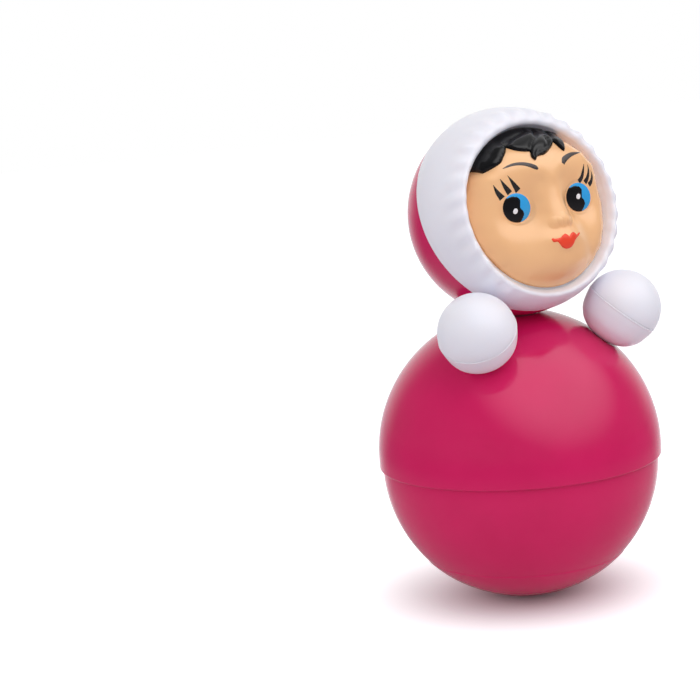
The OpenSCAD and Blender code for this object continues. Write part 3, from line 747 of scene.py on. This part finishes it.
# Landmarks of the face as across, up and forward from the head's centre; those off the middle are mirrored
MIDDLE_MARKS = [
    (0, 22.3, 14.6), (0, 20, 18.3), (0, 16.5, 22.4), (0, 12.5, 25.0), (0, 7, 25.8), (0, 2, 25.3),
    (0, -2.5, 26.0), (0, -4.6, 26.5), (0, -6.0, 26.8), (0, -7.6, 26.5), (0, -9.0, 26.0), (0, -10.2, 26.4),
    (0, -11.9, 27.2), (0, -14.6, 26.6), (0, -16.8, 25.3), (0, -19.5, 24.3), (0, -22.6, 21.6),
    (0, -24.4, 18.6),
]
SIDE_MARKS = {
    "forehead": [(4.6, 10.2, 25.6), (8.6, 12.6, 24.3), (13.0, 13.2, 22.5), (16.6, 13.9, 19.4),
                 (12.8, 17.8, 17.6), (7, 18.5, 19.0), (6.5, 15.5, 22.7), (10, 20.4, 14.0)],
    "temple": [(14.4, 9.5, 22.7), (16.7, 8.4, 21.7), (18.6, 7.1, 20.5), (20.4, 10.1, 18.4), (21.8, 6.2, 17.4),
               (22.3, 2.3, 16.9), (22.6, -3.2, 16.9)],
    "eye": [(6.9, -0.4, 20.5), (16.7, -0.3, 19.8), (11.8, 3.8, 21.7), (11.8, -4.4, 18.9), (15.3, 2.6, 20.9),
            (8.3, 2.6, 21.4), (8.3, -3.3, 19.4), (15.3, -3.2, 19.0), (11.8, 7.5, 23.0)],
    "nose": [(3.9, 6.0, 24.2), (2.9, 0.5, 24.2), (4.6, 0, 22.6), (2.6, -3.0, 25.2), (4.6, -3.6, 23.1),
             (2.0, -6.0, 26.3), (2.2, -7.8, 25.9), (3.4, -6.9, 25.4), (3.2, -8.6, 25.0), (5.0, -7.2, 24.2)],
    "cheek": [(12, -7, 20.2), (12, -9.3, 21.1), (12.3, -12.5, 21.2), (17.5, -8.5, 20.0), (7.6, -8.6, 22.9),
              (21.9, -9, 16.8), (21.2, -11.8, 16.7), (20.1, -14.5, 16.6), (18.4, -16.8, 16.8),
              (16.5, -18.4, 17.1), (13, -17, 19.8), (17.2, -13, 19.6)],
    "mouth": [(5.5, -11.7, 25.3), (1.6, -11.1, 27.1), (4.6, -15.2, 25.0), (8.6, -13.2, 23.3)],
    "chin": [(6, -19.5, 22.9), (10, -20.3, 20.0), (11.2, -21.6, 18.0), (5.5, -23.8, 18.4)],
}
# Turns from the top at which the face's edge is a mark too
EDGE_MARKS = range(0, 360, 15)
# How loosely the face's form follows the marks of each group
MARK_EASE = {"nose": 0.15, "eye": 0.5, "mouth": 0.5}
PLAIN_EASE = 1.2
MIDDLE_EASE = 0.25
FACE_STEPS = 480
FACE_ROWS = 180
FACE_BACK_ROWS = 60
# Half the step over which the face's slope is taken
SLOPE_STEP = 0.02


def face_marks():
    """All marks of the face and how loosely its form follows each of them."""
    marks = list(MIDDLE_MARKS)
    ease = [MIDDLE_EASE] * len(marks)
    for name, group in SIDE_MARKS.items():
        marks += [(side * x, y, z) for x, y, z in group for side in (-1, 1)]
        ease += [MARK_EASE.get(name, PLAIN_EASE)] * (2 * len(group))
    for turn in np.radians(EDGE_MARKS):
        r = wall_r(turn) - FACE_GAP
        marks.append((r * math.sin(turn), r * math.cos(turn), edge_z(turn)))
        ease.append(PLAIN_EASE)
    return np.array(marks, float), np.array(ease)


def bend(gap):
    """How a thin plate bends at a squared distance from a mark."""
    return gap * np.log(np.maximum(gap, NEARLY_ZERO)) / 2


def plate_weights(marks, ease):
    """Weights of a thin plate that passes close by every mark."""
    gaps = ((marks[:, None, :2] - marks[None, :, :2]) ** 2).sum(-1)
    flat = np.hstack([np.ones((len(marks), 1)), marks[:, :2]])
    left = np.block([[bend(gaps) + np.diag(ease), flat], [flat.T, np.zeros((3, 3))]])
    return np.linalg.solve(left, np.concatenate([marks[:, 2], np.zeros(3)]))


MARKS, EASE = face_marks()
WEIGHTS = plate_weights(MARKS, EASE)


def face_height(x, y):
    """How far forward the face's outside lies, from the head's centre."""
    z = WEIGHTS[-3] + WEIGHTS[-2] * x + WEIGHTS[-1] * y
    for mark, weight in zip(MARKS, WEIGHTS):
        z = z + weight * bend((x - mark[0]) ** 2 + (y - mark[1]) ** 2)
    for side in (-1, 1):
        dx = side * x - EYE_X
        dy = y - EYE_Y[side]
        along = side * dx * EYE_COS + dy * EYE_SIN
        across = dy * EYE_COS - side * dx * EYE_SIN
        away = np.hypot(along / EYE_W, across / EYE_H)
        floor = EYE_DEPTH + EYE_LEAN * dy - EYE_OUT * dx
        z = z + (floor - z) * smooth(SOCKET, 1.0, away) + EYE_DOME * np.maximum(0, 1 - away ** 2)
    for at_x, at_y, radius, height in NOSE_BALLS:
        z = z + height * np.maximum(0, 1 - ((x - at_x) ** 2 + (y - at_y) ** 2) / radius ** 2)
    return z


def face_point(x, y, lift=0.0):
    """Points at a lift off the face's outside, square to it."""
    e = SLOPE_STEP
    z = face_height(x, y)
    slope_x = (face_height(x + e, y) - face_height(x - e, y)) / (2 * e)
    slope_y = (face_height(x, y + e) - face_height(x, y - e)) / (2 * e)
    normal = np.stack([-slope_x, -slope_y, np.ones_like(z)], axis=-1)
    normal /= np.linalg.norm(normal, axis=-1, keepdims=True)
    local = np.stack([x, y, z], axis=-1) + normal * np.asarray(lift)[..., None]
    return place(local, FACE_AXES, HEAD)


def make_face():
    """The face plate: its moulded outside, the rim behind the hood's collar and its hollow back."""
    a = np.arange(FACE_STEPS) * 2 * math.pi / FACE_STEPS
    edge_r = wall_r(a) - FACE_GAP
    rest = edge_z(a) - WALL_REST - SEAT_GAP
    hollow = 1 - FACE_T / WALL_R

    def ring(r, z):
        return head_point(a, r, z, FACE_AXES)

    def form_ring(share, drop):
        r = edge_r * share
        return ring(r, face_height(r * np.sin(a), r * np.cos(a)) - drop)

    front = [form_ring(share, 0) for share in np.linspace(0, 1, FACE_ROWS + 1)[1:]]
    rim = [ring(edge_r, rest), ring(edge_r + FACE_RIM_W, rest), ring(edge_r + FACE_RIM_W, rest - FACE_RIM_T),
           ring(edge_r - FACE_T, rest - FACE_RIM_T)]
    back = [form_ring(share, FACE_BACK) for share in np.linspace(hollow, 0, FACE_BACK_ROWS + 1)[:-1]]
    middle = face_height(0, 0)
    poles = place([(0, 0, middle), (0, 0, middle - FACE_BACK)], FACE_AXES, HEAD)
    face = mesh_object("face_plate", *capped(np.array(front + rim + back), *poles))
    finish_piece(face, SKIN, "head", "face_plastic", "face_mask")


# Paint and hair on the face

# How deep a painted patch reaches into the face, how far its grid keeps from its edge, in grid steps, and
# how near two of its points merge
SINK = 0.12
EDGE_CLEAR = 0.3
MERGE_WITHIN = 1e-5
# Heights of the paint
IRIS_H = 0.05
PUPIL_H = 0.10
SHINE_H = 0.17
STROKE_H = 0.06
LIPS_H = 0.3


def curve(points, per_run=6):
    """A smooth open curve through points, each run between two of them in a few steps."""
    p = np.asarray(points, float)
    p = np.vstack([2 * p[0] - p[1], p, 2 * p[-1] - p[-2]])
    out = []
    for a, b, c, d in zip(p[:-3], p[1:-2], p[2:-1], p[3:]):
        for t in np.arange(per_run) / per_run:
            out.append(0.5 * (2 * b + (c - a) * t + (2 * a - 5 * b + 4 * c - d) * t ** 2
                              + (3 * b - a - 3 * c + d) * t ** 3))
    return np.array(out + [p[-2]])


def outline(*runs):
    """A closed outline of smooth runs that meet in corners."""
    return np.vstack([curve(run)[:-1] for run in runs])


def stroke(points, widths):
    """Outline of a brush stroke along points, with its width at each of them."""
    line = curve(points)
    share = np.linspace(0, 1, len(line))
    width = np.interp(share, np.linspace(0, 1, len(widths)), widths)
    along = np.gradient(line, axis=0)
    along /= np.linalg.norm(along, axis=1, keepdims=True)
    side = np.stack([-along[:, 1], along[:, 0]], axis=1) * width[:, None] / 2
    return np.vstack([line + side, (line - side)[::-1]])


def edge_distance(points, loop):
    """Distance of each point from a closed outline, and whether it lies inside."""
    a = loop
    b = np.roll(loop, -1, axis=0)
    span = b - a
    rel = points[:, None, :] - a[None]
    t = np.clip((rel * span).sum(-1) / np.maximum((span ** 2).sum(-1), NEARLY_ZERO), 0, 1)
    gap = np.linalg.norm(rel - t[..., None] * span, axis=-1).min(1)
    crosses = (a[:, 1] > points[:, None, 1]) != (b[:, 1] > points[:, None, 1])
    rise = np.where(span[:, 1] == 0, NEARLY_ZERO, span[:, 1])
    at = a[:, 0] + (points[:, None, 1] - a[:, 1]) * span[:, 0] / rise
    return gap, (crosses & (points[:, None, 0] < at)).sum(1) % 2 == 1


def patch(name, loop, lift, material, slot, edge=0.25, grid=0.3):
    """A thin closed skin on the face inside an outline, rounded down at its edge."""
    low = loop.min(0)
    high = loop.max(0)
    xs, ys = np.meshgrid(np.arange(low[0], high[0], grid), np.arange(low[1], high[1], grid))
    inner = np.stack([xs.ravel(), ys.ravel()], axis=1)
    gap, within = edge_distance(inner, loop)
    inner = inner[within & (gap > EDGE_CLEAR * grid)]
    flat = [Vector(p) for p in np.vstack([loop, inner])]
    rim = [(i, (i + 1) % len(loop)) for i in range(len(loop))]
    verts, _, faces, *_ = delaunay_2d_cdt(flat, rim, [], 1, MERGE_WITHIN)
    xy = np.array([tuple(v) for v in verts])
    gap, _ = edge_distance(xy, loop)
    share = np.sqrt(1 - (1 - np.clip(gap / edge, 0, 1)) ** 2)
    height = lift(xy[:, 0], xy[:, 1]) if callable(lift) else lift
    top = face_point(xy[:, 0], xy[:, 1], height * share)
    bottom = face_point(xy[:, 0], xy[:, 1], np.full(len(xy), -SINK))
    count = len(xy)
    sides = {}
    for face in faces:
        for i, j in zip(face, face[1:] + face[:1]):
            if (j, i) in sides:
                del sides[(j, i)]
            else:
                sides[(i, j)] = True
    closed = [tuple(f) for f in faces] + [tuple(i + count for i in reversed(f)) for f in faces]
    closed += [(j, i, i + count, j + count) for i, j in sides]
    piece = mesh_object(name, np.vstack([top, bottom]), closed)
    finish_piece(piece, material, "head", slot)


# Marks on an eye, in parts of the half axes of its ellipse: the paint's edge, the pupil's edge and its glint
EYE_MARGIN = 0.985
PUPIL_EDGE = [(-0.93, 0.31), (-0.62, 0.57), (-0.28, 0.68), (0.0, 0.57), (0.09, 0.29),
              (0.17, 0.07), (0.42, -0.02), (0.61, -0.20), (0.65, -0.48), (0.59, -0.76)]
SHINE_AT = {"right": (-0.07, -0.29), "left": (-0.12, -0.02)}
SHINE_R = 0.88


def eye_loop(side, points):
    """Outline on an eye, from parts of the half axes of its turned ellipse."""
    along, across = (np.array(points) * (EYE_W, EYE_H)).T
    x = along * EYE_COS - across * EYE_SIN
    y = along * EYE_SIN + across * EYE_COS
    return np.stack([side * EYE_X + x, EYE_Y[side] + y], axis=1)


def circle_arc(start, end, count):
    """Points of a circle of radius 1 between two angles."""
    angles = np.radians(np.linspace(start, end, count))
    return np.stack([np.cos(angles), np.sin(angles)], axis=1)


def make_eye(side, name):
    """An eye's painted iris, its pupil that looks aside, and a glint."""
    circle = circle_arc(0, 360, 73)[:-1]
    patch(name + "_iris", eye_loop(side, EYE_MARGIN * circle), IRIS_H, BLUE, "blue_paint", edge=0.12)
    rim_from, rim_to = (math.degrees(math.atan2(y, x)) for x, y in (PUPIL_EDGE[-1], PUPIL_EDGE[0]))
    rim = EYE_MARGIN * circle_arc(rim_from, rim_to - 360, 40)
    pupil = np.vstack([curve(PUPIL_EDGE[1:-1], 4), rim])
    patch(name + "_pupil", eye_loop(side, pupil), PUPIL_H, BLACK, "black_paint", edge=0.15)
    shine = circle * SHINE_R / (EYE_W, EYE_H) + SHINE_AT[name]
    patch(name + "_shine", eye_loop(side, shine), SHINE_H, DOT_WHITE, "white_paint", edge=0.15, grid=0.15)


# Hair: how far it reaches in under the hood, its lower edge, the grooves between its strands and its heights
HAIR_TUCK = 0.3
HAIRLINE = [
    [(-20.4, 13.0), (-19.8, 12.4), (-19.5, 11.6)],
    [(-19.5, 11.6), (-18.1, 12.1), (-15.0, 13.6), (-13.0, 15.5), (-10.0, 18.2)],
    [(-10.0, 18.2), (-8.9, 16.8), (-7.0, 16.0), (-4.9, 15.6)],
    [(-4.9, 15.6), (-5.7, 13.8), (-5.0, 12.5), (-3.5, 13.6), (-0.6, 14.0), (2.1, 15.3), (5.0, 16.9),
     (6.4, 18.0)],
    [(6.4, 18.0), (6.4, 15.6), (7.2, 14.2), (9.0, 16.1), (10.3, 18.6)],
    [(10.3, 18.6), (12.0, 19.2), (13.4, 19.6)],
]
HAIR_GROOVES = [
    [(-10.0, 18.2), (-6.5, 20.2), (0.0, 22.0)],
    [(-4.9, 15.6), (-2.5, 17.6), (1.0, 19.8), (3.4, 21.6)],
    [(-4.6, 13.4), (-2.4, 15.1), (0.2, 15.4), (2.4, 16.7), (4.4, 18.8)],
    [(6.4, 18.0), (7.6, 19.6), (8.6, 21.4)],
]
HAIR_H = 1.25
HAIR_LEAST = 0.25
GROOVE_DEPTH = 0.6
GROOVE_W = 0.6
HAIR_BEAD_H = 0.35
HAIR_BEAD_IN = 1.1
HAIR_BEAD_W = 0.45


def hair_lift(x, y):
    """Height of the moulded hair, combed into strands by grooves, with a bead along the hood."""
    points = np.stack([x, y], axis=1)
    height = np.full(len(points), HAIR_H)
    for groove in HAIR_GROOVES:
        line = curve(groove, 8)
        gap = np.linalg.norm(points[:, None] - line[None], axis=-1).min(1)
        height -= GROOVE_DEPTH * np.exp(-(gap / GROOVE_W) ** 2)
    from_wall = wall_r(np.arctan2(x, y)) - np.hypot(x, y)
    bead = HAIR_BEAD_H * np.exp(-((from_wall - HAIR_BEAD_IN) / HAIR_BEAD_W) ** 2)
    return np.maximum(height, HAIR_LEAST) + bead


def make_hair():
    """The moulded hair, from its lower edge up to where it goes in under the hood."""
    start = math.atan2(*HAIRLINE[-1][-1])
    end = math.atan2(*HAIRLINE[0][0])
    turn = np.linspace(start, end, 90)
    r = wall_r(turn) - FACE_GAP + HAIR_TUCK
    loop = np.vstack([outline(*HAIRLINE), np.stack([r * np.sin(turn), r * np.cos(turn)], axis=1)])
    patch("hair", loop, hair_lift, BLACK, "black_paint", edge=0.8, grid=0.28)


# Runs of the lips' outline, and the brush strokes of the brows and lashes with their widths
LIPS = [
    [(-5.2, -12.0), (-4.8, -11.7), (-4.1, -12.0), (-2.8, -12.0), (-1.9, -11.4), (-0.9, -11.0), (-0.1, -11.5),
     (0.3, -12.1)],
    [(0.3, -12.1), (1.1, -11.3), (2.4, -10.9), (3.3, -11.3), (4.0, -11.8), (5.2, -11.4), (6.1, -11.2)],
    [(6.1, -11.2), (6.0, -11.7), (4.2, -12.6), (2.6, -13.5), (1.9, -14.6), (0.9, -15.4), (-0.7, -15.6),
     (-2.1, -15.0), (-3.0, -13.9), (-3.6, -13.1), (-4.5, -13.0), (-5.0, -12.7)],
]
BROWS = {
    "right": [(-15.4, 11.7), (-13.9, 12.1), (-11.8, 12.4), (-9.3, 12.1), (-7.2, 11.3), (-5.7, 10.4),
              (-5.0, 9.7)],
    "left": [(4.6, 10.2), (5.5, 11.4), (7.4, 12.3), (10.1, 13.0), (14.8, 13.4)],
}
BROW_WIDTHS = {"right": [0.15, 0.6, 0.9, 1.1, 1.3, 1.3, 0.6], "left": [1.2, 1.9, 1.6, 1.2, 0.2]}
LASHES = {
    "right": [[(-16.7, 2.9), (-18.0, 5.0), (-18.8, 7.4)], [(-14.2, 4.1), (-15.6, 6.3), (-16.8, 8.8)],
              [(-11.3, 4.4), (-12.9, 6.7), (-14.5, 9.4)]],
    "left": [[(11.9, 4.4), (13.0, 5.6), (13.8, 7.5), (14.6, 9.9)],
             [(14.4, 3.9), (15.6, 5.2), (16.5, 7.3), (16.4, 9.3)],
             [(16.1, 3.0), (17.3, 4.0), (18.2, 5.8), (17.9, 7.4)]],
}
LASH_WIDTHS = {"right": [1.9, 1.2, 0.1], "left": [1.7, 1.4, 1.0, 0.1]}


def make_features():
    """The painted lips, eyes, brows and lashes, and the hair."""
    patch("lips", outline(*LIPS), LIPS_H, RED, "red_paint", edge=0.6, grid=0.25)
    for side, name in ((-1, "right"), (1, "left")):
        make_eye(side, name)
        brow = stroke(BROWS[name], BROW_WIDTHS[name])
        patch(name + "_brow", brow, STROKE_H, BROWN, "black_paint", edge=0.2, grid=0.25)
        for i, line in enumerate(LASHES[name]):
            lash = stroke(line, LASH_WIDTHS[name])
            patch(f"{name}_lash_{i + 1}", lash, STROKE_H, LASH, "black_paint", edge=0.2, grid=0.22)
    make_hair()


# Inner pieces keep their CAD shape, and those not named here are steel

INNER = {
    "ballast_weight": IRON,
    "clapper_bob": BRASS,
    "clapper_link": BRASS,
    "neck_sleeve": SLEEVE,
}


def dress_inner_pieces():
    """Gives every CAD node its material; those that a piece stands for stay hidden."""
    for name, obj in frame["nodes"].items():
        obj.data.materials.clear()
        obj.data.materials.append(INNER.get(name, STEEL))


# Stage

CAMERA_AZ = -34.67
CAMERA_EL = 12.85
CAMERA_ROLL = -4.63
CAMERA_DISTANCE = 600
CAMERA_LENS = 94.257
AIM_RIGHT = -53.21
AIM_UP = 38.81
SENSOR_W = 36
CLIP_END = 50000

# Lamps, by the way to each from the doll and its power in watts
KEY_FROM = (0.15, -0.5, 0.85)
KEY_POWER = 4.5
FILL_FROM = (-0.95, -0.10, 0.12)
FILL_POWER = 1.3
LAMP_DISTANCE = 1000
LAMP_W = 1200
LAMP_H = 960
LAMP_AIM_Z = 80

# What the gloss shows of the room: a softbox and a white backdrop, by the angles where each ends and is full
SOFTBOX_GLOSS = 2.8
SOFTBOX_WIDE = 61
SOFTBOX_FULL = 22
BACKDROP_FROM = (0.56, 0.80, 0.10)
BACKDROP_WIDE = 58
BACKDROP_FULL = 16
ROOM_GLOSS = 0.23

# Soft light from all round, weaker from above, by the angles from straight up where it changes
ROOM_SIDE = 1.36
ROOM_TOP = 0.34
ROOM_WIDE = 88
ROOM_FULL = 20

# Floor: its size, where painted shade darkens its colour away from the doll, where it shows white, and what
# the gloss shows of it
FLOOR_SIZE = 6000
PAPER = (0.74, 0.71, 0.75)
PAPER_CLOUD = (0.73, 0.70, 0.74)
# Painted shade: the floor's colour far from the doll, made darker to stand for the dim studio beyond the lit
# set
FAR_PAPER_SHADE = (0.29, 0.27, 0.32)
PAPER_CLOUDS = 0.02
PAPER_ROUGH = 0.9
# Distances from the doll over which the painted shade darkens the floor's colour
PAPER_SHADE_FROM = 120
PAPER_SHADE_TO = 320
GLOW_FROM = 6
GLOW_TO = 80
FLOOR_GLOSS = 0.7


def make_camera():
    """A camera that aims past the doll, so that it stands in its place in the picture."""
    az = math.radians(CAMERA_AZ)
    el = math.radians(CAMERA_EL)
    back = Vector((math.sin(az) * math.cos(el), -math.cos(az) * math.cos(el), math.sin(el)))
    right = Vector((math.cos(az), math.sin(az), 0))
    up = back.cross(right)
    aim = right * AIM_RIGHT + up * AIM_UP
    place_at = back * CAMERA_DISTANCE
    w = (place_at - aim).normalized()
    r = Vector((0, 0, 1)).cross(w).normalized()
    u = w.cross(r)
    roll = math.radians(CAMERA_ROLL)
    x_axis = r * math.cos(roll) + u * math.sin(roll)
    y_axis = u * math.cos(roll) - r * math.sin(roll)
    camera = bpy.data.cameras.new("camera")
    camera.sensor_width = SENSOR_W
    camera.lens = CAMERA_LENS
    camera.clip_end = CLIP_END * MM
    obj = bpy.data.objects.new("camera", camera)
    bpy.context.collection.objects.link(obj)
    matrix = Matrix((x_axis, y_axis, w)).transposed().to_4x4()
    matrix.translation = (place_at + Vector((0, 0, BOWL_Z))) * MM
    obj.matrix_world = matrix
    bpy.context.scene.camera = obj


def larger(tree, one, other):
    """The larger of two numbers."""
    node = tree.nodes.new("ShaderNodeMath")
    node.operation = "MAXIMUM"
    tree.links.new(one, node.inputs[0])
    tree.links.new(other, node.inputs[1])
    return node.outputs["Value"]


def camera_ray(tree):
    """1 for what the camera sees directly, else 0."""
    return tree.nodes.new("ShaderNodeLightPath").outputs["Is Camera Ray"]


def mirror_ray(tree):
    """1 for what shows in gloss or through glass, else 0."""
    path = tree.nodes.new("ShaderNodeLightPath")
    return larger(tree, path.outputs["Is Glossy Ray"], path.outputs["Is Transmission Ray"])


def mix_value(tree, factor, low, high):
    """A number between two numbers or outputs."""
    node = tree.nodes.new("ShaderNodeMix")
    tree.links.new(factor, node.inputs["Factor"])
    for socket, value in (("A", low), ("B", high)):
        if isinstance(value, (int, float)):
            node.inputs[socket].default_value = value
        else:
            tree.links.new(value, node.inputs[socket])
    return node.outputs["Result"]


def vector_math(tree, operation, vector):
    """A node that does vector mathematics on a vector."""
    node = tree.nodes.new("ShaderNodeVectorMath")
    node.operation = operation
    tree.links.new(vector, node.inputs[0])
    return node


def toward(tree, direction, way, wide, full, low, high):
    """A number that rises from low to high as a direction nears a way, between two angles from it."""
    aligned = vector_math(tree, "DOT_PRODUCT", direction)
    aligned.inputs[1].default_value = Vector(way).normalized()
    start = math.cos(math.radians(wide))
    end = math.cos(math.radians(full))
    return map_range(tree, aligned.outputs["Value"], start, end, low, high, "SMOOTHSTEP")


def make_world():
    """White to the camera; the gloss shows a backdrop, a softbox and a dimmer room; the rest is soft fill."""
    world = bpy.data.worlds.new("studio")
    bpy.context.scene.world = world
    world.use_nodes = True
    tree = world.node_tree
    background = tree.nodes["Background"]
    set_inputs(background, {"Color": (1, 1, 1, 1)})
    direction = tree.nodes.new("ShaderNodeTexCoord").outputs["Generated"]
    backdrop = toward(tree, direction, BACKDROP_FROM, BACKDROP_WIDE, BACKDROP_FULL, ROOM_GLOSS, 1.0)
    softbox = toward(tree, direction, KEY_FROM, SOFTBOX_WIDE, SOFTBOX_FULL, 0.0, SOFTBOX_GLOSS)
    room = toward(tree, direction, (0, 0, 1), ROOM_WIDE, ROOM_FULL, ROOM_SIDE, ROOM_TOP)
    lit = mix_value(tree, mirror_ray(tree), room, larger(tree, backdrop, softbox))
    strength = mix_value(tree, camera_ray(tree), lit, 1.0)
    tree.links.new(strength, background.inputs["Strength"])


def make_lamp(name, way, power):
    """A large soft lamp that shines at the doll but leaves no mark of its own in the gloss."""
    lamp = bpy.data.lights.new(name, "AREA")
    lamp.shape = "RECTANGLE"
    lamp.size = LAMP_W * MM
    lamp.size_y = LAMP_H * MM
    lamp.energy = power
    obj = bpy.data.objects.new(name, lamp)
    bpy.context.collection.objects.link(obj)
    way = Vector(way).normalized()
    obj.location = (way * LAMP_DISTANCE + Vector((0, 0, LAMP_AIM_Z))) * MM
    obj.rotation_euler = way.to_track_quat("Z", "Y").to_euler()
    obj.visible_glossy = False


def make_floor():
    """A pale floor that shows white and keeps the doll's shadow; painted shade darkens its colour far from
    the doll.
    """
    half = FLOOR_SIZE / 2
    corners = [(-half, -half, 0), (half, -half, 0), (half, half, 0), (-half, half, 0)]
    floor = mesh_object("floor", corners, [(0, 1, 2, 3)])
    material, tree, shader = new_material("floor_paper")
    set_inputs(shader, {"Roughness": PAPER_ROUGH, "Specular IOR Level": 0.0, "Emission Color": (1, 1, 1, 1)})
    where = tree.nodes.new("ShaderNodeTexCoord").outputs["Object"]
    away = vector_math(tree, "LENGTH", where).outputs["Value"]
    way = vector_math(tree, "NORMALIZE", where).outputs["Vector"]

    # The floor's colour: clouded near the doll, turning with distance to painted shade of the dim studio
    # beyond the set
    paper_and_shade = tree.nodes.new("ShaderNodeMix")
    paper_and_shade.data_type = "RGBA"
    set_inputs(paper_and_shade, {"B": (*FAR_PAPER_SHADE, 1)})
    tree.links.new(tint(tree, noise(tree, PAPER_CLOUDS), PAPER, PAPER_CLOUD), paper_and_shade.inputs["A"])
    tree.links.new(map_range(tree, away, PAPER_SHADE_FROM * MM, PAPER_SHADE_TO * MM), paper_and_shade.inputs["Factor"])
    tree.links.new(paper_and_shade.outputs["Result"], shader.inputs["Base Color"])

    shown = map_range(tree, away, GLOW_FROM * MM, GLOW_TO * MM, interpolation="SMOOTHSTEP")
    mirrored = toward(tree, way, BACKDROP_FROM, BACKDROP_WIDE, BACKDROP_FULL, 0.0, FLOOR_GLOSS)
    glow = mix_value(tree, camera_ray(tree), mix_value(tree, mirror_ray(tree), 0.0, mirrored), shown)
    tree.links.new(glow, shader.inputs["Emission Strength"])
    floor.data.materials.append(material)


make_camera()
dress_inner_pieces()
make_bowl()
make_dome()
make_hand("left")
make_hand("right")
make_head_shell()
make_hood()
make_face()
make_features()
make_world()
make_lamp("key", KEY_FROM, KEY_POWER)
make_lamp("fill", FILL_FROM, FILL_POWER)
make_floor()
bpy.context.scene.view_settings.view_transform = "Standard"
